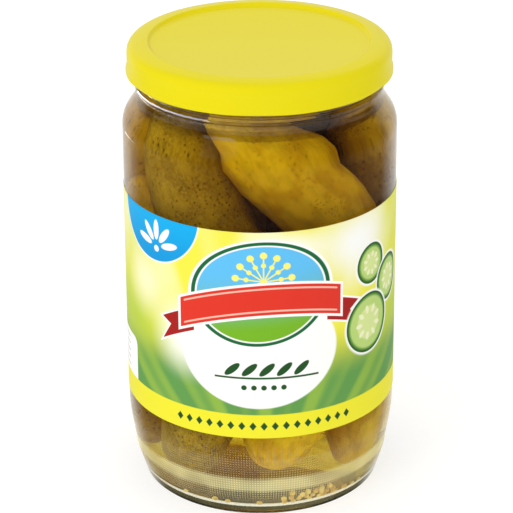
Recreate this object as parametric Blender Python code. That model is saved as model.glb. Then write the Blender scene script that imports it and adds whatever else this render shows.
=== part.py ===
"""Pickle jar: a shut glass jar of whole gherkins, with a twist-off cap and a paper label.

Metres, +Z up. The jar's axis is the Z axis, its foot stands on Z = 0, and its front faces -Y.
A turn is an angle round the axis in degrees: 0 is the front, 90 is the right side at +X.
"""

import math
import random
from collections import namedtuple

import bmesh
import bpy
from mathutils import Matrix, Vector

# Every turned shape
SEGMENTS = 48
ARC_STEP = math.radians(24)
SHARP_ANGLE = math.radians(35)
WELD = 1e-6

# The glass, outside: the corners of its outline and the fillets that round them
PUNT_HEIGHT = 0.0054
CROWN_RADIUS = 0.0180
CROWN_FALL = 0.0004
CROWN_FILLET = 0.0300
FOOT_RING_INNER = 0.0350
FOOT_RING_EDGE = 0.0008
FOOT_RADIUS = 0.0392
FOOT_EDGE = 0.0020
HEEL_RADIUS = 0.0420
HEEL_HEIGHT = 0.0090
HEEL_FILLET = 0.0150
HEEL_TOP = 0.0240
HEEL_TOP_FILLET = 0.0400
BODY_RADIUS = 0.0444
SHOULDER_HEIGHT = 0.1268
SHOULDER_FILLET = 0.0090
NECK_RADIUS = 0.0395
NECK_HEIGHT = 0.1340
NECK_FILLET = 0.0060
RIM_EDGE = 0.0009
BEAD_RADIUS = 0.0402
BEAD_LOW = 0.1369
BEAD_HIGH = 0.1391
BEAD_SLOPE = 0.0006

# The glass, inside
WALL = 0.0024
MOUTH_WALL = 0.0026
FLOOR_HEIGHT = 0.0090
FLOOR_FALL = 0.0006
GROOVE_RADIUS = 0.0378
GROOVE_CORNER = 0.0022
GROOVE_FILLET = 0.0032
BEND_SHIFT = 0.0013  # the inner wall bends this much lower at the shoulder and higher at the heel
BORE_RADIUS = BODY_RADIUS - WALL
MOUTH_RADIUS = NECK_RADIUS - MOUTH_WALL

# The cap
TINPLATE = 0.0008
CAP_HEIGHT = 0.1520
CAP_RADIUS = 0.0425
CAP_FALL = 0.0009
CAP_EDGE = 0.0030
CAP_FALL_INSIDE = 0.0005
CAP_EDGE_INSIDE = 0.0024
CAP_CLEARANCE = 0.0003
SKIRT_BOTTOM = 0.1415
CURL_HEIGHT = 0.0018
CURL_SWELL = 0.0004
CURL_DEPTH = 0.0014
CURL_EDGE = 0.0006
CURL_EASE = 0.0004
PANEL_RADIUS = 0.0350
PANEL_DROP = 0.0012
PANEL_STEP = 0.0008
PANEL_EDGE = 0.0006
LUGS = 6
LUG_REACH = 0.0011
LUG_DENT = 0.0004
LUG_HALF_WIDTH = math.radians(13)

RIM_HEIGHT = CAP_HEIGHT - TINPLATE - CAP_CLEARANCE

# The label
LABEL_BOTTOM = 0.0313
LABEL_TOP = 0.1036
PAPER = 0.0002
PAPER_GAP = 0.00012
SEAM_TURN = 217.5
SEAM_OVERLAP = 2
SEAM_RISE = 2
SEAM_LIFT = 0.00034

# The gherkins: where each lies in the jar, as the turn and reach of its two ends and its foot's height.
# A reach of 1 leaves the gherkin against the glass, and 0 puts its end on the jar's axis.
Gherkin = namedtuple("Gherkin", "foot_turn foot_reach foot_height head_turn head_reach length girth bow")
GHERKINS = (
    Gherkin(86, 1.0, 0.0830, -27, 1.0, 0.074, 0.026, 0.0025),
    Gherkin(-4, 0.5, 0.0640, -66, 1.0, 0.075, 0.027, 0.0030),
    Gherkin(-82, 0.92, 0.0360, -88, 0.96, 0.072, 0.023, 0.0020),
    Gherkin(-128, 1.0, 0.0690, -108, 0.8, 0.076, 0.024, 0.0020),
    Gherkin(131, 1.0, 0.0740, 84, 0.92, 0.075, 0.024, 0.0030),
    Gherkin(164, 1.0, 0.0700, 148, 0.8, 0.075, 0.024, 0.0020),
    Gherkin(-168, 1.0, 0.0690, 200, 0.8, 0.076, 0.024, 0.0020),
    Gherkin(4, 1.0, 0.0145, 41, 1.0, 0.060, 0.027, 0.0020),
    Gherkin(-52, 1.0, 0.0085, -14, 1.0, 0.060, 0.024, 0.0020),
    Gherkin(60, 1.0, 0.0090, 92, 1.0, 0.064, 0.024, 0.0020),
    Gherkin(147, 0.3, 0.0125, 130, 1.0, 0.056, 0.024, 0.0020),
    Gherkin(206, 1.0, 0.0085, 169, 1.0, 0.062, 0.024, 0.0020),
    Gherkin(-104, 1.0, 0.0085, -148, 1.0, 0.062, 0.024, 0.0020),
)
GHERKIN_SIDES = 12
GHERKIN_RINGS = 9
SKIN_GAP = 0.0011
END_FULLNESS = 2.6
SIDE_FULLNESS = 2.1
CORE_RADIUS = 0.0195
CORE_BOTTOM = 0.0200
CORE_TOP = 0.1300

# The mustard seeds, in a drift that lies in the groove round the glass floor
SEED_SIZE = 0.0021
SEEDS = 32
DRIFT_TURN = 26
DRIFT_REACH = 0.0353
DRIFT_REST = 0.0036
DRIFT_LENGTH = 0.0220
DRIFT_WIDTH = 0.0034
DRIFT_DEPTH = 0.0018
DRIFT_SIDES = 16
DRIFT_RINGS = 6
SEED_SPREAD = 0.92
SEED_LIFT = 0.0003
SEED_JITTER = 0.0001
GOLDEN_ANGLE = math.pi * (3 - math.sqrt(5))
DRAW = 7


def clear_scene():
    for thing in list(bpy.data.objects):
        bpy.data.objects.remove(thing)


def finish(name, colour, roughness, metallic=0.0, transmission=0.0):
    """A material with one plain finish."""
    made = bpy.data.materials.new(name)
    made.use_nodes = True
    shader = made.node_tree.nodes["Principled BSDF"]
    shader.inputs["Base Color"].default_value = (*colour, 1.0)
    shader.inputs["Roughness"].default_value = roughness
    shader.inputs["Metallic"].default_value = metallic
    shader.inputs["Transmission Weight"].default_value = transmission
    return made


def made_object(name, maker, material=None):
    """Puts what a bmesh holds into the scene as one smooth-shaded object."""
    mesh = bpy.data.meshes.new(name)
    maker.to_mesh(mesh)
    maker.free()
    mesh.shade_smooth()
    mesh.set_sharp_from_angle(angle=SHARP_ANGLE)
    if material:
        mesh.materials.append(material)
    thing = bpy.data.objects.new(name, mesh)
    bpy.context.scene.collection.objects.link(thing)
    return thing


def around(turn, radius, height):
    """The point at this turn, in degrees, and this radius and height."""
    angle = math.radians(turn)
    return Vector((radius * math.sin(angle), -radius * math.cos(angle), height))


def rounded(corners):
    """An outline from (radius, height, fillet) corners, with each fillet drawn as an arc."""
    outline = []
    for index, (radius, height, fillet) in enumerate(corners):
        here = Vector((radius, height))
        if not fillet:
            outline.append(here)
            continue
        before = (Vector(corners[index - 1][:2]) - here).normalized()
        after = (Vector(corners[index + 1][:2]) - here).normalized()
        bend = math.pi - before.angle(after)
        centre = here + (before + after).normalized() * fillet / math.cos(bend / 2)
        spoke = here + before * fillet * math.tan(bend / 2) - centre
        steps = max(1, round(bend / ARC_STEP))
        sweep = -math.copysign(bend, before.cross(after))
        for step in range(steps + 1):
            outline.append(centre + Matrix.Rotation(sweep * step / steps, 2) @ spoke)
    return outline


def turned(outline):
    """A bmesh of an outline spun round the Z axis, with its ends closed on the axis."""
    maker = bmesh.new()
    points = [maker.verts.new((radius, 0, height)) for radius, height in outline]
    edges = [maker.edges.new(pair) for pair in zip(points, points[1:])]
    bmesh.ops.spin(
        maker,
        geom=points + edges,
        cent=(0, 0, 0),
        axis=(0, 0, 1),
        angle=math.tau,
        steps=SEGMENTS,
        use_merge=True,
    )
    bmesh.ops.remove_doubles(maker, verts=maker.verts, dist=WELD)
    bmesh.ops.recalc_face_normals(maker, faces=maker.faces)
    return maker


def jar():
    """The glass: a domed underside, the outer wall up to the rim, and back down the inner wall."""
    outline = rounded([
        (0, PUNT_HEIGHT, 0),
        (CROWN_RADIUS, PUNT_HEIGHT - CROWN_FALL, CROWN_FILLET),
        (FOOT_RING_INNER, 0, FOOT_RING_EDGE),
        (FOOT_RADIUS, 0, FOOT_EDGE),
        (HEEL_RADIUS, HEEL_HEIGHT, HEEL_FILLET),
        (BODY_RADIUS, HEEL_TOP, HEEL_TOP_FILLET),
        (BODY_RADIUS, SHOULDER_HEIGHT, SHOULDER_FILLET),
        (NECK_RADIUS, NECK_HEIGHT, NECK_FILLET),
        (NECK_RADIUS, BEAD_LOW, 0),
        (BEAD_RADIUS, BEAD_LOW + BEAD_SLOPE, 0),
        (BEAD_RADIUS, BEAD_HIGH - BEAD_SLOPE, 0),
        (NECK_RADIUS, BEAD_HIGH, 0),
        (NECK_RADIUS, RIM_HEIGHT, RIM_EDGE),
        (MOUTH_RADIUS, RIM_HEIGHT, RIM_EDGE),
        (MOUTH_RADIUS, NECK_HEIGHT - BEND_SHIFT, NECK_FILLET),
        (BORE_RADIUS, SHOULDER_HEIGHT - BEND_SHIFT, SHOULDER_FILLET - BEND_SHIFT),
        (BORE_RADIUS, HEEL_TOP + BEND_SHIFT, HEEL_TOP_FILLET - WALL),
        (HEEL_RADIUS - WALL, HEEL_HEIGHT + BEND_SHIFT, HEEL_FILLET - WALL),
        (GROOVE_RADIUS, GROOVE_CORNER, GROOVE_FILLET),
        (CROWN_RADIUS, FLOOR_HEIGHT - FLOOR_FALL, CROWN_FILLET),
        (0, FLOOR_HEIGHT, 0),
    ])
    glass = finish("clear_glass", (0.90, 0.93, 0.88), 0.05, transmission=1.0)
    return made_object("jar", turned(outline), glass)


def lug_share(point):
    """How much of a lug there is at a point's turn: 1 at a lug's middle and 0 between lugs."""
    pitch = math.tau / LUGS
    angle = math.atan2(point.x, -point.y) % pitch
    off_middle = min(angle, pitch - angle)
    return max(0.0, math.cos(0.5 * math.pi * min(1.0, off_middle / LUG_HALF_WIDTH)))


def cap():
    """The twist-off cap: a sunk panel, a raised ring over the rim, a skirt and a rolled edge with lugs."""
    panel_top = CAP_HEIGHT - PANEL_DROP
    ring_inner = PANEL_RADIUS + PANEL_STEP
    curl_outer = CAP_RADIUS + CURL_SWELL
    curl_inner = CAP_RADIUS - CURL_DEPTH
    curl_top = SKIRT_BOTTOM + CURL_HEIGHT
    skirt_inner = CAP_RADIUS - TINPLATE
    outline = rounded([
        (0, panel_top, 0),
        (PANEL_RADIUS, panel_top, PANEL_EDGE),
        (ring_inner, CAP_HEIGHT, PANEL_EDGE),
        (CAP_RADIUS, CAP_HEIGHT - CAP_FALL, CAP_EDGE),
        (CAP_RADIUS, curl_top + CURL_EASE, 0),
        (curl_outer, curl_top - CURL_EASE, 0),
        (curl_outer, SKIRT_BOTTOM, CURL_EDGE),
        (curl_inner, SKIRT_BOTTOM, CURL_EDGE),
        (curl_inner, curl_top, CURL_EASE),
        (skirt_inner, curl_top + CURL_EDGE, 0),
        (skirt_inner, CAP_HEIGHT - TINPLATE - CAP_FALL_INSIDE, CAP_EDGE_INSIDE),
        (ring_inner + TINPLATE, CAP_HEIGHT - TINPLATE, 0),
        (PANEL_RADIUS + TINPLATE, panel_top - TINPLATE, 0),
        (0, panel_top - TINPLATE, 0),
    ])
    maker = turned(outline)
    for vert in maker.verts:
        if vert.co.z > curl_top:
            continue
        radius = vert.co.xy.length
        inward = LUG_REACH if radius < skirt_inner else LUG_DENT
        vert.co.xy *= 1 - inward * lug_share(vert.co) / radius
    lacquer = finish("yellow_lacquer", (0.86, 0.76, 0.0), 0.35, metallic=0.0)
    return made_object("lid", maker, lacquer)


def label():
    """A paper strip, cut flat, wrapped round the body and glued over its own start."""
    facets = SEGMENTS + SEAM_OVERLAP
    maker = bmesh.new()
    bmesh.ops.create_cube(maker, size=1)
    long_edges = [edge for edge in maker.edges if abs(edge.verts[0].co.x - edge.verts[1].co.x) > 0.5]
    bmesh.ops.subdivide_edges(maker, edges=long_edges, cuts=facets - 1)
    middle = (LABEL_BOTTOM + LABEL_TOP) / 2
    for vert in maker.verts:
        along = (0.5 - vert.co.x) * facets
        lifted = min(1.0, max(0.0, (along - SEGMENTS + SEAM_RISE) / SEAM_RISE))
        radius = BODY_RADIUS + PAPER_GAP + PAPER * (vert.co.y + 0.5) + SEAM_LIFT * lifted
        height = middle + vert.co.z * (LABEL_TOP - LABEL_BOTTOM)
        vert.co = around(SEAM_TURN + along * 360 / SEGMENTS, radius, height)
    paper = finish("label_paper", (0.72, 0.78, 0.30), 0.45)
    return made_object("label", maker, paper)


def gherkin(row, name):
    """One gherkin: a full-ended, slightly bowed body between the places of its two ends."""
    touching = BORE_RADIUS - SKIN_GAP - row.girth / 2
    foot = around(row.foot_turn, row.foot_reach * touching, row.foot_height)
    head = around(row.head_turn, row.head_reach * touching, row.foot_height)
    head.z += math.sqrt(row.length**2 - (head - foot).length_squared)
    middle = (foot + head) / 2
    along = (head - foot).normalized()
    outward = (middle * Vector((1, 1, 0))).normalized()
    outward = (outward - along * outward.dot(along)).normalized()
    side = outward.cross(along)

    maker = bmesh.new()
    bmesh.ops.create_uvsphere(maker, u_segments=GHERKIN_SIDES, v_segments=GHERKIN_RINGS, radius=1)
    for vert in maker.verts:
        share = vert.co.z
        radius = row.girth / 2 * max(0.0, 1 - abs(share) ** END_FULLNESS) ** (1 / SIDE_FULLNESS)
        spoke = vert.co.xy.normalized() * radius
        on_axis = middle + along * share * row.length / 2 + outward * row.bow * (1 - share**2)
        vert.co = on_axis + side * spoke.x + outward * spoke.y
    return made_object(name, maker)


def fused(core, pieces):
    """Joins the pieces to their core in one union, applies it and removes the pieces."""
    group = bpy.data.collections.new(core.name + "_pieces")
    bpy.context.scene.collection.children.link(group)
    for piece in pieces:
        bpy.context.scene.collection.objects.unlink(piece)
        group.objects.link(piece)
    union = core.modifiers.new("union", "BOOLEAN")
    union.operation = "UNION"
    union.operand_type = "COLLECTION"
    union.collection = group
    union.solver = "EXACT"
    graph = bpy.context.evaluated_depsgraph_get()
    joined = bpy.data.meshes.new_from_object(core.evaluated_get(graph))
    core.modifiers.clear()
    core.data = joined
    for piece in pieces:
        bpy.data.objects.remove(piece)
    bpy.data.collections.remove(group)
    return core


def gherkins():
    """All the gherkins as one heap, fused to a core that stands inside it."""
    maker = bmesh.new()
    bmesh.ops.create_cone(
        maker,
        cap_ends=True,
        segments=GHERKIN_SIDES,
        radius1=CORE_RADIUS,
        radius2=CORE_RADIUS,
        depth=CORE_TOP - CORE_BOTTOM,
        matrix=Matrix.Translation((0, 0, (CORE_TOP + CORE_BOTTOM) / 2)),
    )
    skin = finish("pickled_skin", (0.30, 0.24, 0.03), 0.40)
    core = made_object("gherkins", maker, skin)
    pieces = [gherkin(row, f"gherkin_{index:02}") for index, row in enumerate(GHERKINS)]
    return fused(core, pieces)


def laid(spot):
    """Bends a point of the drift, along, across and up, round the groove where the seeds lie."""
    turn = DRIFT_TURN + math.degrees(spot.x / DRIFT_REACH)
    return around(turn, DRIFT_REACH + spot.y, DRIFT_REST + spot.z)


def mustard_seeds():
    """A drift of seeds: a low lens-shaped bed in the groove with seeds fused over its top."""
    half = Vector((DRIFT_LENGTH / 2, DRIFT_WIDTH / 2, DRIFT_DEPTH / 2))
    maker = bmesh.new()
    bmesh.ops.create_uvsphere(maker, u_segments=DRIFT_SIDES, v_segments=DRIFT_RINGS, radius=1)
    bmesh.ops.scale(maker, vec=half, verts=maker.verts)
    for vert in maker.verts:
        vert.co = laid(vert.co + Vector((0, 0, half.z)))
    bmesh.ops.reverse_faces(maker, faces=maker.faces)
    husk = finish("seed_husk", (0.62, 0.46, 0.12), 0.40)
    bed = made_object("mustard_seeds", maker, husk)

    draw = random.Random(DRAW)
    seeds = []
    for index in range(SEEDS):
        angle = index * GOLDEN_ANGLE
        share = SEED_SPREAD * math.sqrt((index + 0.5) / SEEDS)
        dome = half.z * math.sqrt(1 - share**2)
        spot = Vector((share * half.x * math.cos(angle), share * half.y * math.sin(angle), 0))
        spot.z = max(SEED_SIZE / 2 + SEED_LIFT, half.z + dome) + draw.uniform(-SEED_JITTER, SEED_JITTER)
        maker = bmesh.new()
        bmesh.ops.create_icosphere(maker, subdivisions=1, radius=SEED_SIZE / 2)
        bmesh.ops.rotate(maker, verts=maker.verts, matrix=Matrix.Rotation(draw.uniform(0, math.tau), 3, "Z"))
        bmesh.ops.translate(maker, verts=maker.verts, vec=laid(spot))
        seeds.append(made_object(f"seed_{index:02}", maker))
    return fused(bed, seeds)


clear_scene()
jar()
cap()
label()
gherkins()
mustard_seeds()
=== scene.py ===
# %% [markdown]
# # A jar of gherkins
#
# This lesson dresses a jar of pickled gherkins: a glass jar with a twist-off cap, a printed paper
# label, whole gherkins, mustard seeds and the brine round them. The plain solids of the jar come
# first, as a fixed frame. Every piece made here lies where one of those solids lies, in metres, with
# the jar's axis on Z and its front towards -Y.

# %% The fixed frame
import math
import random

import bmesh
import bpy
from mathutils import Matrix, Vector, noise


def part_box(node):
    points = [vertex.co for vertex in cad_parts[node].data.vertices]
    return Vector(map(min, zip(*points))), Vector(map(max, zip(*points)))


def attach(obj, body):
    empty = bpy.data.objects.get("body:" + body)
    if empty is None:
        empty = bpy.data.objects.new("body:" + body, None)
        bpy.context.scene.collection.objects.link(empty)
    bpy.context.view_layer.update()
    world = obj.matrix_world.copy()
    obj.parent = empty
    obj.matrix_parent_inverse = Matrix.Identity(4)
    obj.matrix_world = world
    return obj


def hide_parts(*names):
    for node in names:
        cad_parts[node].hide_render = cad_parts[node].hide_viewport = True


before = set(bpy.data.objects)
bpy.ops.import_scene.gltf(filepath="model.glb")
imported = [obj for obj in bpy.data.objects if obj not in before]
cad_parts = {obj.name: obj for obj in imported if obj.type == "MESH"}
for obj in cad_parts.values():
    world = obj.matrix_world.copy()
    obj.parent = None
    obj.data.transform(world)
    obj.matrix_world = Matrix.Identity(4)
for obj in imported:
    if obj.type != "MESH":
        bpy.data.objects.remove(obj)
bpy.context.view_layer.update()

MM = 0.001

# %% [markdown]
# ## The camera
#
# The photograph was taken from a step away with a long lens, so the jar's sides run almost straight.
# A camera could be turned by hand until the picture fits. Here its distance, height and tilt are
# worked out from the ellipses of the cap, the label's two edges and the foot, which only agree for
# one viewpoint. A small shift stands for the jar not being quite in the middle of the frame.

# %% Camera
SENSOR = 36.0
PIXELS = 513
FOCAL_PIXELS = 2576.0
CAMERA_AWAY = 777.7 * MM
CAMERA_UP = 425.4 * MM
TILT_DOWN = math.radians(24.22)
ROLL = math.radians(-0.25)
AXIS_PIXEL = 260.3

lens = bpy.data.cameras.new("camera")
lens.sensor_width = SENSOR
lens.lens = FOCAL_PIXELS / PIXELS * SENSOR
lens.shift_x = (PIXELS / 2 - AXIS_PIXEL) / PIXELS
lens.clip_start = 0.05
camera = bpy.data.objects.new("camera", lens)
camera.matrix_world = (
    Matrix.Translation((0, -CAMERA_AWAY, CAMERA_UP))
    @ Matrix.Rotation(math.pi / 2 - TILT_DOWN, 4, "X")
    @ Matrix.Rotation(ROLL, 4, "Z")
)
bpy.context.scene.collection.objects.link(camera)
bpy.context.scene.camera = camera
print("lens in mm", round(lens.lens, 1), "shift", round(lens.shift_x, 4))

# %% [markdown]
# ## Shader sums
#
# The finishes below are worked out from formulas, and a formula is easier to read as a Python sum
# than as a pile of boxes and links. So one small class wraps a node's output. Adding or multiplying
# it adds a Math node, and its method `node` makes any other node. Colours go through Mix nodes,
# because a Math node would turn a colour grey.


# %% Sums of node outputs
class Signal:
    """One output of a material's nodes, which can be used in Python sums."""

    def __init__(self, socket):
        self.socket = socket

    def node(self, kind, settings, sockets, output=0):
        """Adds a node beside this one, sets it up, fills its sockets and returns one of its outputs."""
        tree = self.socket.id_data
        made = tree.nodes.new(kind)
        for name, value in settings.items():
            setattr(made, name, value)
        for key, value in sockets.items():
            if isinstance(value, Signal):
                tree.links.new(value.socket, made.inputs[key])
            else:
                made.inputs[key].default_value = value
        return Signal(made.outputs[output])

    def maths(self, operation, *values, clamp=False):
        settings = {"operation": operation, "use_clamp": clamp}
        return self.node("ShaderNodeMath", settings, dict(enumerate(values)))

    def __add__(self, other):
        return self.maths("ADD", self, other)

    __radd__ = __add__

    def __sub__(self, other):
        return self.maths("SUBTRACT", self, other)

    def __rsub__(self, other):
        return self.maths("SUBTRACT", other, self)

    def __mul__(self, other):
        return self.maths("MULTIPLY", self, other)

    def __truediv__(self, other):
        return self.maths("DIVIDE", self, other)

    def __pow__(self, other):
        return self.maths("POWER", self, other)

    def __abs__(self):
        return self.maths("ABSOLUTE", self)


print("besides sums, a Signal has", [name for name in vars(Signal) if not name.startswith("_")])


# %% Masks and colours
def mixed(mask, under, over):
    """The colour under, covered by the colour over where the mask is 1."""
    return mask.node("ShaderNodeMix", {"data_type": "RGBA"}, {0: mask, 6: under, 7: over}, output=2)


def ramped(value, low, high):
    """0 below low, 1 above high, and smooth between them."""
    settings = {"interpolation_type": "SMOOTHSTEP"}
    return value.node("ShaderNodeMapRange", settings, {0: value, 1: low, 2: high, 3: 0.0, 4: 1.0})


def banded(value, low, low_full, high_full, high):
    """1 between the two middle numbers, 0 outside the outer ones, and smooth in between."""
    return ramped(value, low, low_full) * (1 - ramped(value, high_full, high))


def both(first, second):
    """The lesser of two signals, so the depth inside both of two shapes."""
    return first.maths("MINIMUM", first, second)


def either(first, second):
    """The greater of two signals, so the depth inside one shape or the other."""
    return first.maths("MAXIMUM", first, second)


def sine(value):
    return value.maths("SINE", value)


def nearest(value, pitch):
    """How far a value is from the nearest whole number of pitches."""
    return value.maths("PINGPONG", value, pitch / 2)


def parts(vector):
    """The three numbers of a vector."""
    return [vector.node("ShaderNodeSeparateXYZ", {}, {0: vector}, output=index) for index in range(3)]


def screen(red, green, blue):
    """A colour as a screen shows it, from 0 to 255, as the light that Blender mixes."""
    linear = []
    for value in (red, green, blue):
        share = value / 255
        linear.append(share / 12.92 if share <= 0.04045 else ((share + 0.055) / 1.055) ** 2.4)
    return (*linear, 1.0)


print("a screen's mid grey is", [round(value, 3) for value in screen(128, 128, 128)])


# %% New finishes
def new_finish(name):
    """A material, its Principled BSDF and a Signal from which its other nodes are made."""
    made = bpy.data.materials.new(name)
    made.use_nodes = True
    shader = made.node_tree.nodes["Principled BSDF"]
    start = Signal(made.node_tree.nodes.new("ShaderNodeTexCoord").outputs["Object"])
    return made, shader, start


def feed(shader, name, signal):
    """Lets a signal drive one of a shader's sockets."""
    shader.id_data.links.new(signal.socket, shader.inputs[name])


print("materials so far", len(bpy.data.materials))

# %% [markdown]
# ## Turned shapes
#
# Glass jars and caps are round, so each is one outline spun about the axis. The outline is given as
# a few corners with a fillet at each, as a mould maker draws it, and a helper turns each fillet into
# an arc. A Screw modifier would also spin it, but the bmesh operator leaves a finished mesh whose
# poles can be closed straight away.

# %% Turned shapes
ARC_STEP = math.radians(9)
ROUND_STEPS = 160
WELD = 1e-6


def rounded(corners, arc_step=ARC_STEP):
    """An outline from (radius, height, fillet) corners in millimetres, as points in metres."""
    outline = []
    for index, (radius, height, fillet) in enumerate(corners):
        here = Vector((radius, height))
        if not fillet:
            outline.append(here * MM)
            continue
        before = (Vector(corners[index - 1][:2]) - here).normalized()
        after = (Vector(corners[index + 1][:2]) - here).normalized()
        bend = math.pi - before.angle(after)
        centre = here + (before + after).normalized() * fillet / math.cos(bend / 2)
        spoke = here + before * fillet * math.tan(bend / 2) - centre
        steps = max(2, round(bend / arc_step))
        sweep = -math.copysign(bend, before.cross(after))
        for step in range(steps + 1):
            outline.append((centre + Matrix.Rotation(sweep * step / steps, 2) @ spoke) * MM)
    return outline


print("a fillet in a right angle takes", len(rounded([(0, 0, 0), (5, 0, 3), (5, 5, 0)])) - 2, "points")


# %% Spinning and placing
def turned(outline, steps=ROUND_STEPS):
    """A bmesh of an outline spun round the axis, closed where it meets the axis."""
    maker = bmesh.new()
    points = [maker.verts.new((radius, 0, height)) for radius, height in outline]
    edges = [maker.edges.new(pair) for pair in zip(points, points[1:])]
    bmesh.ops.spin(
        maker, geom=points + edges, cent=(0, 0, 0), axis=(0, 0, 1),
        angle=math.tau, steps=steps, use_merge=True,
    )
    bmesh.ops.remove_doubles(maker, verts=maker.verts, dist=WELD)
    bmesh.ops.recalc_face_normals(maker, faces=maker.faces)
    return maker


def piece_of(name, maker, *materials, sharp=None):
    """Puts what a bmesh holds into the scene as a smooth-shaded piece that rides on the jar."""
    mesh = bpy.data.meshes.new(name)
    maker.to_mesh(mesh)
    maker.free()
    mesh.shade_smooth()
    if sharp:
        mesh.set_sharp_from_angle(angle=math.radians(sharp))
    for material in materials:
        mesh.materials.append(material)
    piece = bpy.data.objects.new(name, mesh)
    bpy.context.scene.collection.objects.link(piece)
    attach(piece, "root")
    print(name, len(mesh.polygons), "faces")
    return piece


def around(turn, radius, height):
    """The point at this turn in degrees, radius and height. Turn 0 is the front and 90 the right."""
    angle = math.radians(turn)
    return Vector((radius * math.sin(angle), -radius * math.cos(angle), height))


print("turn 90 lies at", [round(value) for value in around(90, 1, 0)])

# %% [markdown]
# ## The glass
#
# The jar is blown soda-lime glass, 2.4 mm thick, with a pushed-up base that leaves a groove round the
# foot. It has to be a closed wall with an inner and an outer skin, because light bends at both. The
# finish is clear glass with a breath of green. Where brine wets it, it hardly shines, so the inner
# wall has a finish of its own. Light that has bounced can't find its way through bent glass in
# reasonable time, so two Light Path switches let it and the lamps' rays pass straight to what is
# inside. Rings of points just off the bends keep their smooth shading out of the straight parts,
# which would otherwise mirror the room as if they were curved.

# %% Glass outline
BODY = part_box("jar")[1].x / MM
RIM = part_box("jar")[1].z / MM
WALL = 2.4
BORE = BODY - WALL
NECK = 39.5
MOUTH = NECK - 2.6
SHOULDER_HEIGHT = 126.8
NECK_HEIGHT = 134.0
BEAD = 40.2
BEAD_LOW = 136.9
BEAD_HIGH = 139.1
HEEL = 42.0
HEEL_HEIGHT = 9.0
HEEL_TOP = 24.0
BEND_SHIFT = 1.3
STRAIGHT_FOOT = 30.0
STRAIGHT_TOP = 124.02
FOOT = 39.2
FOOT_INSIDE = 35.0
PUSHED_UP = 5.4
CROWN = 18.0
CROWN_FILLET = 30.0
FLOOR = 9.0
FLOOR_FALL = 0.6
GROOVE = 37.8
GROOVE_CORNER = 2.2
GROOVE_FILLET = 3.2

inner_wall = [
    (MOUTH, NECK_HEIGHT - BEND_SHIFT, 6.0),
    (BORE, SHOULDER_HEIGHT - BEND_SHIFT, 9.0 - BEND_SHIFT),
    (BORE, STRAIGHT_TOP - BEND_SHIFT, 0),
    (BORE, STRAIGHT_FOOT, 0),
    (BORE, HEEL_TOP + BEND_SHIFT, 40.0 - WALL),
    (HEEL - WALL, HEEL_HEIGHT + BEND_SHIFT, 15.0 - WALL),
    (GROOVE, GROOVE_CORNER, GROOVE_FILLET),
    (CROWN, FLOOR - FLOOR_FALL, CROWN_FILLET),
    (0, FLOOR, 0),
]
glass_outline = rounded([
    (0, PUSHED_UP, 0),
    (CROWN, PUSHED_UP - 0.4, CROWN_FILLET),
    (FOOT_INSIDE, 0, 0.8),
    (FOOT, 0, 2.0),
    (HEEL, HEEL_HEIGHT, 15.0),
    (BODY, HEEL_TOP, 40.0),
    (BODY, STRAIGHT_FOOT, 0),
    (BODY, STRAIGHT_TOP, 0),
    (BODY, SHOULDER_HEIGHT, 9.0),
    (NECK, NECK_HEIGHT, 6.0),
    (NECK, BEAD_LOW, 0.3),
    (BEAD, BEAD_LOW + 0.6, 0.3),
    (BEAD, BEAD_LOW + 0.8, 0),
    (BEAD, BEAD_HIGH - 0.8, 0),
    (BEAD, BEAD_HIGH - 0.6, 0.3),
    (NECK, BEAD_HIGH, 0.3),
    (NECK, BEAD_HIGH + 0.2, 0),
    (NECK, RIM, 0.9),
    (MOUTH, RIM, 0.9),
    *inner_wall,
])
print("glass outline", len(glass_outline), "points")

# %% Glass finishes
GLASS_BENDS = 1.5
GLASS_TINT = (0.975, 0.99, 0.965, 1.0)
WET_SHINE = 0.1


def let_light_in(material, surface, tint):
    """Lets lamps' rays and bounced rays go straight through a clear finish, dimmed by a tint."""
    tree = material.node_tree
    path = tree.nodes.new("ShaderNodeLightPath")
    through = tree.nodes.new("ShaderNodeBsdfTransparent")
    through.inputs["Color"].default_value = tint
    for kind in ("Is Shadow Ray", "Is Diffuse Ray"):
        mix = tree.nodes.new("ShaderNodeMixShader")
        tree.links.new(path.outputs[kind], mix.inputs[0])
        tree.links.new(surface, mix.inputs[1])
        tree.links.new(through.outputs[0], mix.inputs[2])
        surface = mix.outputs[0]
    tree.links.new(surface, tree.nodes["Material Output"].inputs["Surface"])


def clear_finish(name, bends, tint, shine):
    """A clear finish that bends light by this index and shines by this share of its usual gloss."""
    made, shader, start = new_finish(name)
    shader.inputs["Base Color"].default_value = tint
    shader.inputs["Roughness"].default_value = 0.0
    shader.inputs["IOR"].default_value = bends
    shader.inputs["Transmission Weight"].default_value = 1.0
    shader.inputs["Specular Tint"].default_value = (shine, shine, shine, 1.0)
    return made, shader, start


glass_finish, glass_shader, _ = clear_finish("clear_glass", GLASS_BENDS, GLASS_TINT, 1.0)
let_light_in(glass_finish, glass_shader.outputs[0], GLASS_TINT)
wet_finish, wet_shader, _ = clear_finish("wet_glass", GLASS_BENDS, GLASS_TINT, WET_SHINE)
let_light_in(wet_finish, wet_shader.outputs[0], GLASS_TINT)
print("clear finishes", [glass_finish.name, wet_finish.name], "bend light by", GLASS_BENDS)

# %% [markdown]
# ### The stippled heel
#
# Jars slide on a conveyor on their foot and heel, so the mould has rows of tiny dots there that take
# the scratches. They catch the light from below as a pale band. Real dots would be hundreds of
# thousands of faces, and a bump alone doesn't scatter any light. So the dots are a pattern that mixes
# a matt white finish into the clear one, densely in a band just above the foot and thinly above it.

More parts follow.
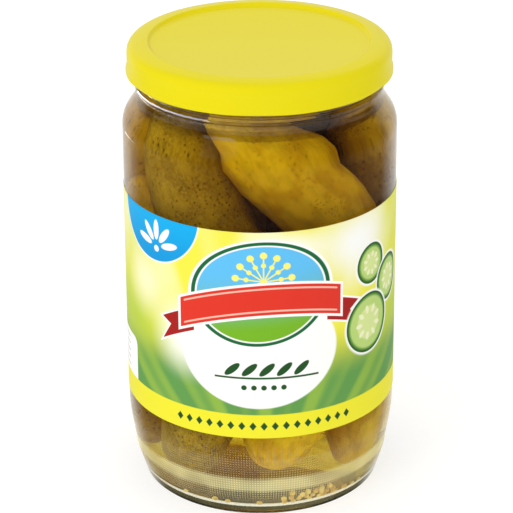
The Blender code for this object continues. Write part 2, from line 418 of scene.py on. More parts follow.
# %% Stipple round the heel
STIPPLE_PITCH = 0.9
STIPPLE_TOP = 31.0
heel_finish, heel_shader, heel_start = clear_finish("stippled_glass", GLASS_BENDS, GLASS_TINT, 1.0)
x, y, z = parts(heel_start)
height = z / MM
turns = x.maths("ARCTAN2", x, y)
across = sine(turns * round(math.tau * BODY / STIPPLE_PITCH))
dots = ramped(across + sine(height * (math.tau / STIPPLE_PITCH)), 0.5, 1.4)
cloud = heel_start.node("ShaderNodeTexNoise", {}, {"Vector": heel_start, "Scale": 70.0, "Detail": 1.0})
uneven = 0.7 + ramped(cloud, 0.35, 0.65) * 0.45
stippled = banded(height, 5, 9, 21, STIPPLE_TOP)
pale_band = banded(height, 9.2, 11.6, 14.2, 16.6)
foot_haze = banded(height, 1.0, 2.4, 9, 12)
scattered = (dots * stippled * 0.42 + pale_band * (0.50 + dots * 0.1) + foot_haze * 0.13) * uneven

heel_tree = heel_finish.node_tree
matt_shader = heel_tree.nodes.new("ShaderNodeBsdfPrincipled")
matt_shader.inputs["Base Color"].default_value = screen(240, 230, 168)
matt_shader.inputs["Roughness"].default_value = 0.9
matt_shader.inputs["Specular IOR Level"].default_value = 0.0
stipple_mix = heel_tree.nodes.new("ShaderNodeMixShader")
heel_tree.links.new(scattered.socket, stipple_mix.inputs[0])
heel_tree.links.new(heel_shader.outputs[0], stipple_mix.inputs[1])
heel_tree.links.new(matt_shader.outputs[0], stipple_mix.inputs[2])
let_light_in(heel_finish, stipple_mix.outputs[0], GLASS_TINT)
print("dots round the heel", round(math.tau * BODY / STIPPLE_PITCH), "in a row")

# %% Glass piece
BRINE_LEVEL = 137.3
WET_FROM = 20.0
glass_maker = turned(glass_outline)
for face in glass_maker.faces:
    middle = face.calc_center_median()
    faces_in = -face.normal.xy.dot(middle.xy.normalized())
    if faces_in > 0.05 and WET_FROM * MM < middle.z < BRINE_LEVEL * MM:
        face.material_index = 1
    elif faces_in < -0.3 and MM < middle.z < STIPPLE_TOP * MM:
        face.material_index = 2
glass = piece_of("glass_jar", glass_maker, glass_finish, wet_finish, heel_finish, sharp=50)
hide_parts("jar")

# %% [markdown]
# ## The brine
#
# The jar is filled with vinegar, water and sugar, a pale amber liquid that bends light like water.
# Its skin reaches a little way into the glass wall, so that no film of air shows between them. Its
# colour comes from absorption, so it is pale in thin places and amber where the jar is deep.

# %% Brine outline
INTO_GLASS = 0.3
MENISCUS = 1.4
wetted = [(radius + INTO_GLASS, rise, fillet) for radius, rise, fillet in inner_wall[:-2]]
brine_outline = rounded([
    (0, FLOOR - INTO_GLASS, 0),
    (CROWN, FLOOR - FLOOR_FALL - INTO_GLASS, CROWN_FILLET),
    (GROOVE + INTO_GLASS, GROOVE_CORNER - INTO_GLASS, GROOVE_FILLET),
    *wetted[-2::-1],
    (MOUTH + INTO_GLASS, BRINE_LEVEL + MENISCUS, 0),
    (MOUTH - MENISCUS, BRINE_LEVEL, 1.2),
    (0, BRINE_LEVEL, 0),
])
print("brine outline", len(brine_outline), "points")

# %% Brine piece
BRINE_BENDS = 1.333
UNTINTED = (1.0, 1.0, 1.0, 1.0)
AMBER = (0.91, 0.81, 0.02, 1.0)
AMBER_STRENGTH = 60.0


def brine_finish(name, shine):
    """A finish that bends light like brine and soaks up blue, with this share of its gloss."""
    made, shader, _ = clear_finish(name, BRINE_BENDS, UNTINTED, shine)
    let_light_in(made, shader.outputs[0], UNTINTED)
    absorber = made.node_tree.nodes.new("ShaderNodeVolumeAbsorption")
    absorber.inputs["Color"].default_value = AMBER
    absorber.inputs["Density"].default_value = AMBER_STRENGTH
    end = made.node_tree.nodes["Material Output"]
    made.node_tree.links.new(absorber.outputs[0], end.inputs["Volume"])
    return made


TOP_FACES_FROM = 130.0
brine_maker = turned(brine_outline)
for face in brine_maker.faces:
    is_top = face.normal.z > 0.05 and face.calc_center_median().z > TOP_FACES_FROM * MM
    face.material_index = 1 if is_top else 0
brine_finishes = [brine_finish("brine", 0.0), brine_finish("brine_top", 1.0)]
piece_of("brine", brine_maker, *brine_finishes, sharp=50)

# %% [markdown]
# ## The cap
#
# A twist-off cap is pressed from lacquered tinplate. It has a sunk panel, a raised ring that sits on
# the rim, a skirt, and a rolled edge that is pinched inwards at each lug. It is turned like the
# glass, and then the points of the rolled edge are drawn in where the lugs are.

# %% Cap sizes and lugs
CAP_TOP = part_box("lid")[1].z / MM
CAP = 42.5
CAP_FALL = 0.9
CAP_FALL_INSIDE = 0.5
TINPLATE = 0.8
SKIRT_BOTTOM = 141.5
CURL_TOP = SKIRT_BOTTOM + 1.8
PANEL = 35.0
PANEL_TOP = CAP_TOP - 1.2
CAP_STEPS = 192
LUGS = 6
LUG_REACH = 1.1
LUG_DENT = 0.4
LUG_HALF_WIDTH = math.radians(13)


def lug_share(point):
    """How much of a lug there is at a point's turn: 1 at a lug's middle and 0 between lugs."""
    pitch = math.tau / LUGS
    angle = math.atan2(point.x, -point.y) % pitch
    off_middle = min(angle, pitch - angle)
    return max(0.0, math.cos(0.5 * math.pi * min(1.0, off_middle / LUG_HALF_WIDTH)))


print("half a lug takes", round(CAP * LUG_HALF_WIDTH, 1), "mm of the edge")

# %% Cap piece
cap_outline = rounded([
    (0, PANEL_TOP, 0),
    (PANEL, PANEL_TOP, 0.6),
    (PANEL + 0.8, CAP_TOP, 0.6),
    (CAP, CAP_TOP - CAP_FALL, 3.0),
    (CAP, CURL_TOP + 0.4, 0),
    (CAP + 0.4, CURL_TOP - 0.4, 0),
    (CAP + 0.4, SKIRT_BOTTOM, 0.6),
    (CAP - 1.4, SKIRT_BOTTOM, 0.6),
    (CAP - 1.4, CURL_TOP, 0.4),
    (CAP - TINPLATE, CURL_TOP + 0.6, 0),
    (CAP - TINPLATE, CAP_TOP - TINPLATE - CAP_FALL_INSIDE, 2.4),
    (PANEL + 0.8 + TINPLATE, CAP_TOP - TINPLATE, 0),
    (PANEL + TINPLATE, PANEL_TOP - TINPLATE, 0),
    (0, PANEL_TOP - TINPLATE, 0),
], arc_step=math.radians(15))
cap_maker = turned(cap_outline, CAP_STEPS)
for vert in cap_maker.verts:
    if vert.co.z > CURL_TOP * MM:
        continue
    radius = vert.co.xy.length
    inward = LUG_REACH if radius < (CAP - TINPLATE) * MM else LUG_DENT
    vert.co.xy *= 1 - inward * MM * lug_share(vert.co) / radius

cap_finish, cap_shader, _ = new_finish("yellow_lacquer")
cap_shader.inputs["Base Color"].default_value = screen(230, 215, 0)
cap_shader.inputs["Roughness"].default_value = 0.34
cap_shader.inputs["Specular IOR Level"].default_value = 0.2
cap = piece_of("cap", cap_maker, cap_finish, sharp=50)
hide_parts("lid")

# %% [markdown]
# ## The label
#
# The label is one strip of paper, wrapped round the body and glued over its own start. It is made as
# a long flat box, cut into facets and then wrapped, so its map for the print is simply its flat
# shape: millimetres to the right of the front and millimetres above its lower edge.

# %% Label strip
LABEL_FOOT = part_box("label")[0].z / MM
LABEL_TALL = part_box("label")[1].z / MM - LABEL_FOOT
PAPER = 0.12
PAPER_GAP = 0.05
SEAM_TURN = 217.5
FACETS = 192
SEAM_OVERLAP = 8
SEAM_RISE = 6
SEAM_LIFT = 0.17

label_maker = bmesh.new()
bmesh.ops.create_cube(label_maker, size=1)
long_edges = [edge for edge in label_maker.edges if abs(edge.verts[0].co.x - edge.verts[1].co.x) > 0.5]
bmesh.ops.subdivide_edges(label_maker, edges=long_edges, cuts=FACETS + SEAM_OVERLAP - 1)
print_map = label_maker.loops.layers.uv.new("print")
for face in label_maker.faces:
    face.material_index = 1 if face.calc_center_median().y < -0.49 else 0
    for loop in face.loops:
        along = (0.5 - loop.vert.co.x) * (FACETS + SEAM_OVERLAP)
        arc = math.radians(SEAM_TURN - 360 + along * 360 / FACETS) * BODY
        loop[print_map].uv = (arc, (loop.vert.co.z + 0.5) * LABEL_TALL)
for vert in label_maker.verts:
    along = (0.5 - vert.co.x) * (FACETS + SEAM_OVERLAP)
    lifted = min(1.0, max(0.0, (along - FACETS + SEAM_RISE) / SEAM_RISE))
    radius = BODY + PAPER_GAP + PAPER * (vert.co.y + 0.5) + SEAM_LIFT * lifted
    rise = LABEL_FOOT + (vert.co.z + 0.5) * LABEL_TALL
    vert.co = around(SEAM_TURN + along * 360 / FACETS, radius * MM, rise * MM)
print("label in mm", round(math.tau * BODY, 1), "by", round(LABEL_TALL, 1))

# %% [markdown]
# ## The print
#
# Printed paper is flat colour with sharp edges, so the artwork is drawn by sums on the print map
# instead of a picture: each shape is a depth inside its own outline, and each colour covers the one
# before. Going from the back to the front keeps it easy to follow, as a printer lays down inks.
# The artwork is plain ornament: a badge, a medallion with a flower head of dill, a ribbon, slices of
# cucumber, and rows of leaves and diamonds.

# %% Print helpers
paper_finish, paper_shader, paper_start = new_finish("printed_paper")
flat = paper_start.node("ShaderNodeUVMap", {"uv_map": "print"}, {})
u, v, _ = parts(flat)
SOFT_EDGE = 0.2


def inked(art, depth, ink, soft=SOFT_EDGE):
    """The art with one more ink, where a depth inside a shape is over 0."""
    cover = depth.maths("MULTIPLY_ADD", depth, 1 / soft, 0.5, clamp=True)
    return mixed(cover, art, ink)


def turned_from(cu, cv, degrees):
    """Distances along and across from a centre, on axes turned by an angle."""
    angle = math.radians(degrees)
    along = (u - cu) * math.cos(angle) + (v - cv) * math.sin(angle)
    across = (v - cv) * math.cos(angle) - (u - cu) * math.sin(angle)
    return along, across


def oval(cu, cv, ru, rv, degrees=0):
    """The depth inside an oval."""
    along, across = turned_from(cu, cv, degrees)
    return (1 - ((along / ru) ** 2 + (across / rv) ** 2) ** 0.5) * min(ru, rv)


def glow(cu, cv, ru, rv):
    """1 at a soft spot's middle and 0 at its edge."""
    return ramped(oval(cu, cv, ru, rv) / min(ru, rv), 0, 1)


def report(what):
    print(what, "brings the print to", len(paper_finish.node_tree.nodes), "nodes")


report("print map")

# %% Print ground
CREAM = screen(252, 248, 205)
WHITE = screen(252, 252, 248)
LEMON = screen(240, 234, 70)
MEADOW = screen(100, 158, 78)
LIME = screen(176, 206, 62)
MUSTARD = screen(240, 232, 45)
DARK_GREEN = screen(38, 88, 40)
SUN_U, SUN_V = 2.0, 20.0

spin = v.maths("ARCTAN2", (u - SUN_U) / 1.5, v - SUN_V + 45)
rays = ramped(sine(spin * 21 + 2.0) * 0.6 + sine(spin * 47 + 2.0) * 0.5, -0.5, 0.9)
art = mixed(ramped(v, 17, 38), MEADOW, LEMON)
art = mixed(rays * (1 - ramped(v, 14, 38)) * 0.5, art, LIME)
art = mixed(rays * ramped(v, 32, 60) * 0.55, art, CREAM)
sides = ramped(abs(u - 4), 30, 54) * ramped(v, 20, 33) * (1 - ramped(v, 34, 50) * 0.65)
art = mixed(sides * 0.75, art, LIME)
for spot, strength in (((-43, 48, 17, 17), 0.85), ((-61, 66, 12, 24), 0.7)):
    art = mixed(glow(*spot) * strength, art, CREAM)
for spot in ((34, 64, 24, 18), (8, 66, 20, 9), (-25, 33, 17, 18)):
    art = mixed(glow(*spot), art, WHITE)
report("ground")

# %% Print white oval and its leaves
art = inked(art, oval(-0.5, 31, 26, 20.3), WHITE, soft=0.5)
LEAF_PITCH = 5.6
LEAVES = 5
LEAF_V = 24.6
STALK_V = 21.6
STALK_HALF = 17
DOT_PITCH = 3.2
DOT_V = 18.2
from_leaves = u - 2
leaf_u = u.maths("WRAP", from_leaves, LEAF_PITCH / 2, -LEAF_PITCH / 2)
lean = v - LEAF_V - leaf_u * 0.7
leaf = 1 - ((leaf_u / 2.5) ** 2 + (lean / 1.5) ** 2) ** 0.5
art = inked(art, both(leaf * 2, LEAF_PITCH * LEAVES / 2 - abs(from_leaves)), DARK_GREEN)
stalk = both(0.35 - abs(v - STALK_V), STALK_HALF - abs(from_leaves))
art = inked(art, stalk, DARK_GREEN)
from_dots = u - 1
dots = 0.9 - (nearest(from_dots, DOT_PITCH) ** 2 + (v - DOT_V) ** 2) ** 0.5
art = inked(art, both(dots, DOT_PITCH * 2.5 - abs(from_dots)), DARK_GREEN)
report("white oval")

# %% Print medallion with dill
RIM_GREEN = screen(24, 108, 62)
SKY = screen(96, 190, 240)
GRASS = screen(120, 182, 34)
medallion = oval(0, 51, 23, 18, 8)
art = inked(art, medallion + 0.8, WHITE)
art = inked(art, medallion, RIM_GREEN)
art = inked(art, medallion - 1.1, WHITE)
field = mixed(ramped(v - u * 0.1, 38, 60), GRASS, SKY)
art = inked(art, medallion - 1.6, field)
SPOKES = 13
DILL_U, DILL_V, DILL_REACH = 1.0, 55.5, 9.0
du, dv = turned_from(DILL_U, DILL_V, 0)
reach = (du**2 + dv**2) ** 0.5
off_spoke = nearest(du.maths("ARCTAN2", du, dv), math.tau / SPOKES) * reach
upper = dv + 2.5
spokes = both(0.22 - off_spoke, DILL_REACH - reach)
buds = 1.15 - (off_spoke**2 + (reach - DILL_REACH) ** 2) ** 0.5
small_buds = 0.8 - (off_spoke**2 + (reach - DILL_REACH * 0.62) ** 2) ** 0.5
dill = both(either(either(spokes, buds), small_buds), upper)
art = inked(art, dill, screen(250, 240, 120))
report("medallion")

# %% Print ribbon
RED = screen(226, 52, 34)
SHADE_RED = screen(172, 26, 22)
PALE_RED = screen(250, 190, 170)
RIBBON_V = 49
RIBBON_HALF = 27
RIBBON_DEPTH = 5.2
LINE_DEPTH = 3.9
TAIL_START = 22
TAIL_END = 35
TAIL_NOTCH = 31
TAIL_DROP = 3.4
TAIL_DEPTH = 4.0
arch = RIBBON_V - (u / 30) ** 2 * 6.5 + u * 0.08
off_arch = abs(v - arch)
off_tail = abs(v - arch + TAIL_DROP)
tails = both(TAIL_DEPTH - off_tail, TAIL_END - abs(u))
notch = TAIL_NOTCH - abs(u) + off_tail * 0.9
tails = both(both(tails, notch), abs(u) - TAIL_START)
art = inked(art, tails + 0.7, WHITE)
art = inked(art, tails, SHADE_RED)
ribbon = both(RIBBON_DEPTH - off_arch, RIBBON_HALF - abs(u))
art = inked(art, ribbon + 0.9, WHITE)
art = inked(art, ribbon, RED)
art = inked(art, 0.3 - abs(off_arch - LINE_DEPTH) + both(RIBBON_HALF - 1.5 - abs(u), 0), PALE_RED)
report("ribbon")

# %% Print cucumber slices
SKIN_GREEN = screen(52, 104, 38)
RIND = screen(96, 150, 60)
FLESH = screen(186, 214, 120)
CORE = screen(214, 228, 150)
PIP = screen(238, 240, 196)
PIPS = 9
SLICES = ((41, 54, 7.0), (52.5, 45, 8.0), (40, 33.5, 10.4))
for cu, cv, size in SLICES:
    slice_depth = oval(cu, cv, size, size)
    art = inked(art, slice_depth + 0.7, WHITE, soft=0.8)
    art = inked(art, slice_depth, SKIN_GREEN)
    art = inked(art, slice_depth - 0.8, RIND, soft=0.4)
    art = inked(art, slice_depth - 1.5, FLESH, soft=0.8)
    art = inked(art, slice_depth - size * 0.45, CORE, soft=0.6)
    du, dv = turned_from(cu, cv, 0)
    reach = (du**2 + dv**2) ** 0.5
    off_pip = nearest(du.maths("ARCTAN2", du, dv) + cu, math.tau / PIPS) * reach
    pips = 1 - ((off_pip / (size * 0.075)) ** 2 + ((reach / size - 0.46) / 0.14) ** 2) ** 0.5
    art = inked(art, pips, PIP, soft=0.4)
report("cucumber slices")

# %% Print badge
BLUE = screen(0, 174, 236)
DEEP_BLUE = screen(0, 152, 220)
BADGE_SIZE = 18.5
SPRIG_U = -37
SPRIG_V = 61.5
LEAFLET_REACH = 5.8
badge = oval(-38.5, 75, BADGE_SIZE, BADGE_SIZE)
art = inked(art, badge + 0.5, WHITE)
art = inked(art, badge, mixed(ramped(v, 56, 74), DEEP_BLUE, BLUE))
for degrees in (-76, -38, 0, 38, 76):
    tilt = math.radians(degrees)
    leaf_centre_u = SPRIG_U + LEAFLET_REACH * math.sin(tilt)
    leaf_centre_v = SPRIG_V + LEAFLET_REACH * math.cos(tilt)
    art = inked(art, oval(leaf_centre_u, leaf_centre_v, 3.4, 1.2, 90 - degrees), WHITE)
art = inked(art, oval(SPRIG_U, SPRIG_V - 0.7, 1.1, 1.1), WHITE)
report("badge")

# %% Print back panel and band
RULE_GREY = screen(110, 120, 110)
PANEL_START = 58.5
PANEL_FOOT = 4.5
PANEL_HEAD = 23.4
PANEL_CORNER = 3.0
RULES_START = 66
RULE_PITCH = 2.6
BAND_HEAD = 8.4
DIAMOND_V = 4.3
DIAMOND_PITCH = 3.6
from_middle = abs(u - 8)
panel = both(both(from_middle - PANEL_START, PANEL_HEAD - v), v - PANEL_FOOT)
into_corner_u = either(PANEL_START + PANEL_CORNER - from_middle, 0.0)
into_corner_v = either(v - PANEL_HEAD + PANEL_CORNER, 0.0)
rounded_corner = PANEL_CORNER - (into_corner_u**2 + into_corner_v**2) ** 0.5
art = inked(art, both(panel, rounded_corner), WHITE)
rule = 0.16 - nearest(v - 8, RULE_PITCH)
ruled = both(rule, both(from_middle - RULES_START, both(v - 6, 21.5 - v)))
art = inked(art, ruled, RULE_GREY)
art = inked(art, BAND_HEAD - v, MUSTARD)
diamonds = 1 - nearest(u - 1, DIAMOND_PITCH) / 1.15 - abs(v - DIAMOND_V) / 1.5
art = inked(art, both(diamonds * 0.9, DIAMOND_PITCH * 8.5 - abs(u - 1)), DARK_GREEN)
feed(paper_shader, "Base Color", art)
paper_shader.inputs["Roughness"].default_value = 0.5
paper_shader.inputs["Specular IOR Level"].default_value = 0.2
report("back panel and band")

# %% Label piece
back_finish, back_shader, _ = new_finish("paper_back")
back_shader.inputs["Base Color"].default_value = screen(226, 226, 206)
back_shader.inputs["Roughness"].default_value = 0.8
label = piece_of("paper_label", label_maker, paper_finish, back_finish, sharp=40)
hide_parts("label")

# %% [markdown]
# ## The gherkins
#
# Pickled gherkins are stout, a little bent, and bumpy. Each starts as a sphere from bmesh, whose
# rings are drawn out along a bowed axis between two ends. The ends are given as a turn round the jar
# and a height, chosen so that the ones at the front lie as in the photograph. Lumps and warts
# are noise added to the radius, and the same flat coordinates later carry the skin's pattern.

# %% Gherkin shape
SKIN_GAP = 1.1
END_FULLNESS = 2.6
SIDE_FULLNESS = 2.1
LUMP_PITCH = 11
DIMPLE_PITCH = 3.5
WART_PITCH = 5.5
WART_REACH = 0.42
PARING = 0.35


def gherkin(name, place, tone, material):
    """A gherkin with ends at (foot turn, reach, height) and (head turn, reach), its skin colour partly
    painted shade.
    """
    foot_turn, foot_reach, foot_height, head_turn, head_reach, length, girth, bow = place
    touching = BORE - SKIN_GAP - girth / 2
    foot = around(foot_turn, foot_reach * touching, foot_height)
    head = around(head_turn, head_reach * touching, foot_height)
    head.z += math.sqrt(length**2 - (head - foot).length_squared)
    middle = (foot + head) / 2
    along = (head - foot).normalized()
    outward = (middle * Vector((1, 1, 0))).normalized()
    outward = (outward - along * outward.dot(along)).normalized()
    side = outward.cross(along)
    draw = random.Random(name)
    offset = Vector((draw.uniform(0, 500), draw.uniform(0, 500), draw.uniform(0, 500)))

    maker = bmesh.new()
    bmesh.ops.create_uvsphere(maker, u_segments=80, v_segments=84, radius=1)
    skin_map = maker.verts.layers.float_vector.new("skin")
    tone_map = maker.verts.layers.float.new("tone")
    for vert in maker.verts:
        share = vert.co.z
        radius = girth / 2 * max(0.0, 1 - abs(share) ** END_FULLNESS) ** (1 / SIDE_FULLNESS)
        spoke = vert.co.xy.normalized()
        local = Vector((spoke.x * radius, spoke.y * radius, share * length / 2)) + offset
        lumps = noise.noise(local / LUMP_PITCH) * 0.55 + noise.noise(local / DIMPLE_PITCH) * 0.16
        warts = max(0.0, WART_REACH - noise.voronoi(local / WART_PITCH)[0][0]) * 1.1
        radius = max(0.0, radius + (lumps + warts) * min(1.0, radius / 6) - PARING)
        on_axis = middle + along * share * length / 2 + outward * bow * (1 - share**2)
        vert.co = (on_axis + side * spoke.x * radius + outward * spoke.y * radius) * MM
        vert[skin_map] = local
        vert[tone_map] = tone
    piece = piece_of("gherkin_" + name, maker, material)
    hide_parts("gherkins")


print("room for gherkins across the jar in mm", round(2 * (BORE - SKIN_GAP), 1))

# %% [markdown]
# Pickling turns the green skin olive and then yellow, unevenly. The finish mixes soft patches, fine
# streaks that run along the gherkin, dark specks and pale pores. A tone kept on each gherkin makes
# some bright and some dark. This is partly each skin's own colour and partly painted shade, since
# gherkins that lie in shadow are given a dark tone. In brine a skin hardly shines, so its index is
# close to the brine's.

# %% Gherkin skin
skin_finish, skin_shader, skin_start = new_finish("pickled_skin")
own = skin_start.node("ShaderNodeAttribute", {"attribute_name": "skin"}, {}, output=1)
tone = skin_start.node("ShaderNodeAttribute", {"attribute_name": "tone"}, {}, output=2)
stretched = own.node("ShaderNodeVectorMath", {"operation": "MULTIPLY"}, {0: own, 1: (1.0, 1.0, 0.22)})


def mottle(vector, scale, detail, low, high):
    made = vector.node("ShaderNodeTexNoise", {}, {"Vector": vector, "Scale": scale, "Detail": detail})
    return ramped(made, low, high)


patches = mottle(own, 0.11, 3.0, 0.36, 0.64)
streaks = mottle(stretched, 0.45, 3.0, 0.42, 0.66)
grain = mottle(own, 1.1, 3.0, 0.35, 0.7)
pores = own.node("ShaderNodeTexVoronoi", {}, {"Vector": own, "Scale": 0.72})
specks = (1 - ramped(pores, 0.16, 0.36)) * mottle(own, 0.14, 2.0, 0.38, 0.56)
# The dark skin colour is partly a darker pickle and partly painted shade for gherkins in shadow.
DARK_SKIN = mixed(patches, screen(112, 82, 22), screen(146, 112, 30))
BRIGHT_SKIN = mixed(patches, screen(204, 156, 20), screen(230, 190, 36))
skin = mixed(tone, DARK_SKIN, BRIGHT_SKIN)
skin = mixed(streaks * (0.34 - tone * 0.14), skin, screen(96, 74, 12))
skin = mixed(grain * (0.34 - tone * 0.14), skin, screen(205, 175, 50))
skin = mixed(specks * (0.75 - tone * 0.45), skin, screen(62, 38, 8))
feed(skin_shader, "Base Color", skin)
skin_shader.inputs["Roughness"].default_value = 0.4
skin_shader.inputs["IOR"].default_value = 1.1
skin_height = grain * 0.4 + streaks * 0.5 - specks * 0.6
skin_relief = skin_height.node(
    "ShaderNodeBump", {}, {"Strength": 0.6, "Distance": 0.3 * MM, "Height": skin_height}
)
feed(skin_shader, "Normal", skin_relief)
print("skin finish", len(skin_finish.node_tree.nodes), "nodes")

# %% Gherkin pieces
# The last number is a tone, partly the skin's own colour and partly painted shade for those in shadow.
GHERKINS = {
    "front_lean": ((86, 1.0, 83, -27, 1.0, 74, 26, 2.5), 1.0),
    "left_lean": ((-4, 0.5, 64, -66, 1.0, 75, 27, 3.0), 0.2),
    "left_low": ((-82, 0.92, 36, -88, 0.96, 72, 23, 2.0), 0.7),
    "left_back": ((-128, 1.0, 69, -108, 0.8, 76, 24, 2.0), 0.6),
    "right_tall": ((131, 1.0, 74, 84, 0.92, 75, 24, 3.0), 0.35),
    "back_right": ((164, 1.0, 70, 148, 0.8, 75, 24, 2.0), 0.2),
    "back_left": ((-168, 1.0, 69, 200, 0.8, 76, 24, 2.0), 0.8),
    "front_foot": ((4, 1.0, 14.5, 41, 1.0, 60, 27, 2.0), 1.0),
    "left_foot": ((-52, 1.0, 8.5, -14, 1.0, 60, 24, 2.0), 0.1),
    "right_foot": ((60, 1.0, 9.0, 92, 1.0, 64, 24, 2.0), 0.75),
    "middle_foot": ((147, 0.3, 12.5, 130, 1.0, 56, 24, 2.0), 0.4),
    "back_foot": ((206, 1.0, 8.5, 169, 1.0, 62, 24, 2.0), 0.6),
    "side_foot": ((-104, 1.0, 8.5, -148, 1.0, 62, 24, 2.0), 0.3),
}
for name, (place, tone_value) in GHERKINS.items():
    gherkin(name, place, tone_value, skin_finish)

# %% [markdown]
# ## The mustard seeds
#
# A pinch of mustard seeds has sunk into the groove of the jar's floor, mostly in one drift at the
# front right, with a few single seeds elsewhere. Each seed is dropped at a drawn place and lifted
# until it rests on the glass and clears the seeds that lie there already.

# %% Seed husk
SEED = 2.0
GROOVE_MIDDLE = 35.4
GROOVE_FLOOR = 3.0
GROOVE_BEND = 3.2
GROOVE_REACH = 37.1
seed_finish, seed_shader, seed_start = new_finish("seed_husk")
seed_shader.inputs["Roughness"].default_value = 0.4
seed_shader.inputs["IOR"].default_value = 1.12
husk_noise = seed_start.node("ShaderNodeTexNoise", {}, {"Vector": seed_start, "Scale": 420.0})
husk = mixed(ramped(husk_noise, 0.4, 0.6), screen(206, 160, 72), screen(236, 210, 132))
feed(seed_shader, "Base Color", husk)
print("seed finish", len(seed_finish.node_tree.nodes), "nodes")


# %% Seeds at rest
def resting_height(spot, laid, radius):
    """The lowest centre for a seed at this place that clears the glass and the seeds below it."""
    across = spot.xy.length - GROOVE_MIDDLE
    room = GROOVE_BEND - radius
    if abs(across) < room:
        lowest = GROOVE_FLOOR + GROOVE_BEND - math.sqrt(room**2 - across**2)
    else:
        lowest = GROOVE_FLOOR + GROOVE_BEND + (abs(across) - room) * 0.3
    for other in laid:
        gap = (spot.xy - other.xy).length
        if gap < 2 * radius:
            lowest = max(lowest, other.z + math.sqrt(4 * radius**2 - gap**2) * 0.9)
    return lowest


lone_seed = resting_height(Vector((GROOVE_MIDDLE, 0, 0)), [], SEED / 2)
print("a lone seed's middle rests at", round(lone_seed, 1), "mm")

# %% Seed piece
DRIFT_TURN = 26
DRIFT_SPREAD = 8
DRIFT_WIDTH = 1.0
DRIFT_TOP = 7.0
DRAWN_SEEDS = 60
draw = random.Random(11)
singles = [(-41, 36.0), (-24, 35.6), (-17, 36.2), (-1, 35.8), (58, 35.4)]
singles += [(120, 35.5), (160, 35.2), (205, 35.6)]
places = []
for _ in range(DRAWN_SEEDS):
    turn = DRIFT_TURN + draw.gauss(0, DRIFT_SPREAD)
    places.append((turn, GROOVE_MIDDLE + draw.gauss(0.2, DRIFT_WIDTH)))
laid = []
seed_maker = bmesh.new()
for turn, reach in singles + places:
    radius = SEED / 2 * draw.uniform(0.88, 1.04)
    spot = around(turn, min(reach, GROOVE_REACH), 0)
    spot.z = resting_height(spot, laid, radius)
    if spot.z > DRIFT_TOP:
        continue
    laid.append(spot)
    rest = Matrix.Translation(spot * MM)
    bmesh.ops.create_icosphere(seed_maker, subdivisions=2, radius=radius * MM, matrix=rest)
print(len(laid), "seeds, the highest at", round(max(spot.z for spot in laid), 1), "mm")
seeds = piece_of("loose_seeds", seed_maker, seed_finish)
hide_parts("mustard_seeds")

# %% [markdown]
# ## Floor and light
#
# The jar stands on a white light table, so that the glass is lit from below and casts hardly any
# shadow. The sky is an even white, and a soft box from the upper left shapes the cap and the label.
# A dark flag in front keeps the white table out of the glass, as a photographer would do it: the
# table is hidden from reflections, and the sky is dark there for reflected rays only. On the left,
# below the table, a long narrow card glows, also for reflected rays only. An upright wall that is
# seen from above mirrors what lies below, so the card shows as the bright streak on the bead.

# %% Light table
TABLE_HALF = 6.0
TABLE_DROP = 0.1


def prop_of(name, maker, grey, glow_strength):
    """Puts what a bmesh holds into the scene as a prop of the studio, which glows by itself."""
    mesh = bpy.data.meshes.new(name)
    maker.to_mesh(mesh)
    maker.free()
    finish, shader, _ = new_finish("lit_" + name)
    shader.inputs["Base Color"].default_value = (grey, grey, grey, 1.0)
    shader.inputs["Roughness"].default_value = 0.9
    shader.inputs["Emission Color"].default_value = (1.0, 1.0, 1.0, 1.0)
    shader.inputs["Emission Strength"].default_value = glow_strength
    mesh.materials.append(finish)
    prop = bpy.data.objects.new(name, mesh)
    bpy.context.scene.collection.objects.link(prop)
    print(name, len(mesh.polygons), "faces")
    return prop


floor_maker = bmesh.new()
bmesh.ops.create_grid(floor_maker, x_segments=1, y_segments=1, size=TABLE_HALF)
floor = prop_of("floor", floor_maker, 0.5, 0.6)
floor.location.z = -TABLE_DROP * MM
floor.visible_glossy = False

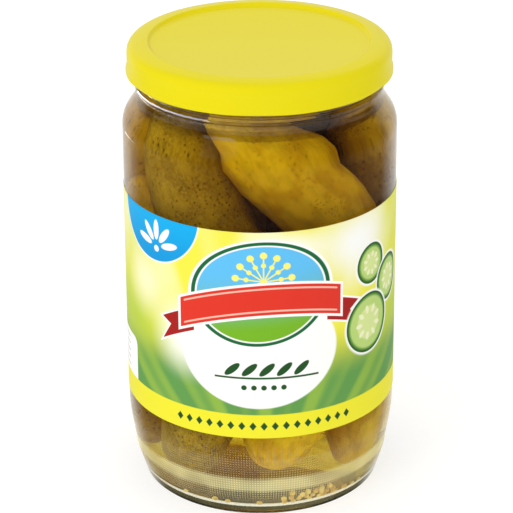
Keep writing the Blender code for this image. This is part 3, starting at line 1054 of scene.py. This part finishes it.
# %% Sky with a dark flag
sky = bpy.data.worlds.new("studio")
sky.use_nodes = True
background = sky.node_tree.nodes["Background"]
background.inputs["Strength"].default_value = 0.9
towards = Signal(sky.node_tree.nodes.new("ShaderNodeTexCoord").outputs["Generated"])
_, north, _ = parts(towards)
mirrored = Signal(sky.node_tree.nodes.new("ShaderNodeLightPath").outputs["Is Glossy Ray"])
flag = (1 - ramped(north, 0.45, 0.8)) * mirrored
sky_colour = mixed(flag, (1.0, 1.0, 1.0, 1.0), (0.05, 0.05, 0.05, 1.0))
sky.node_tree.links.new(sky_colour.socket, background.inputs["Color"])
bpy.context.scene.world = sky
print("sky nodes", len(sky.node_tree.nodes))


# %% Soft box
def soft_box(name, place, size, watts):
    light = bpy.data.lights.new(name, "AREA")
    light.shape = "SQUARE"
    light.size = size
    light.energy = watts
    box = bpy.data.objects.new(name, light)
    box.location = place
    box.rotation_euler = (Vector((0, 0, 0.08)) - Vector(place)).to_track_quat("-Z", "Y").to_euler()
    box.visible_glossy = False
    bpy.context.scene.collection.objects.link(box)


soft_box("key", (-0.8, -0.9, 1.0), 0.7, 5.0)
print("lamps", [lamp.name for lamp in bpy.data.lights])

# %% Low card
CARD_AWAY = 1030.0
CARD_MIDDLE = -246.3
CARD_FALL = 7.6
CARD_TALL = 8.0
CARD_TURN = -93
CARD_SWEEP = 114
card_maker = bmesh.new()
bmesh.ops.create_grid(card_maker, x_segments=40, y_segments=1, size=0.5)
for vert in card_maker.verts:
    along = vert.co.x
    tall = CARD_TALL * min(1.0, (0.5 - along) * 6)
    height = CARD_MIDDLE - CARD_FALL * along + vert.co.y * tall
    vert.co = around(CARD_TURN + along * CARD_SWEEP, CARD_AWAY, height) * MM
card = prop_of("card", card_maker, 0.0, 8.0)
card.visible_camera = False
card.visible_diffuse = False
card.visible_transmission = False
card.visible_shadow = False

# %% Ray limits
scene = bpy.context.scene
scene.cycles.caustics_refractive = False
scene.cycles.caustics_reflective = False
scene.cycles.max_bounces = 16
scene.cycles.transmission_bounces = 14
scene.cycles.transparent_max_bounces = 16
scene.view_settings.view_transform = "Standard"
print("a ray may bounce", scene.cycles.max_bounces, "times")
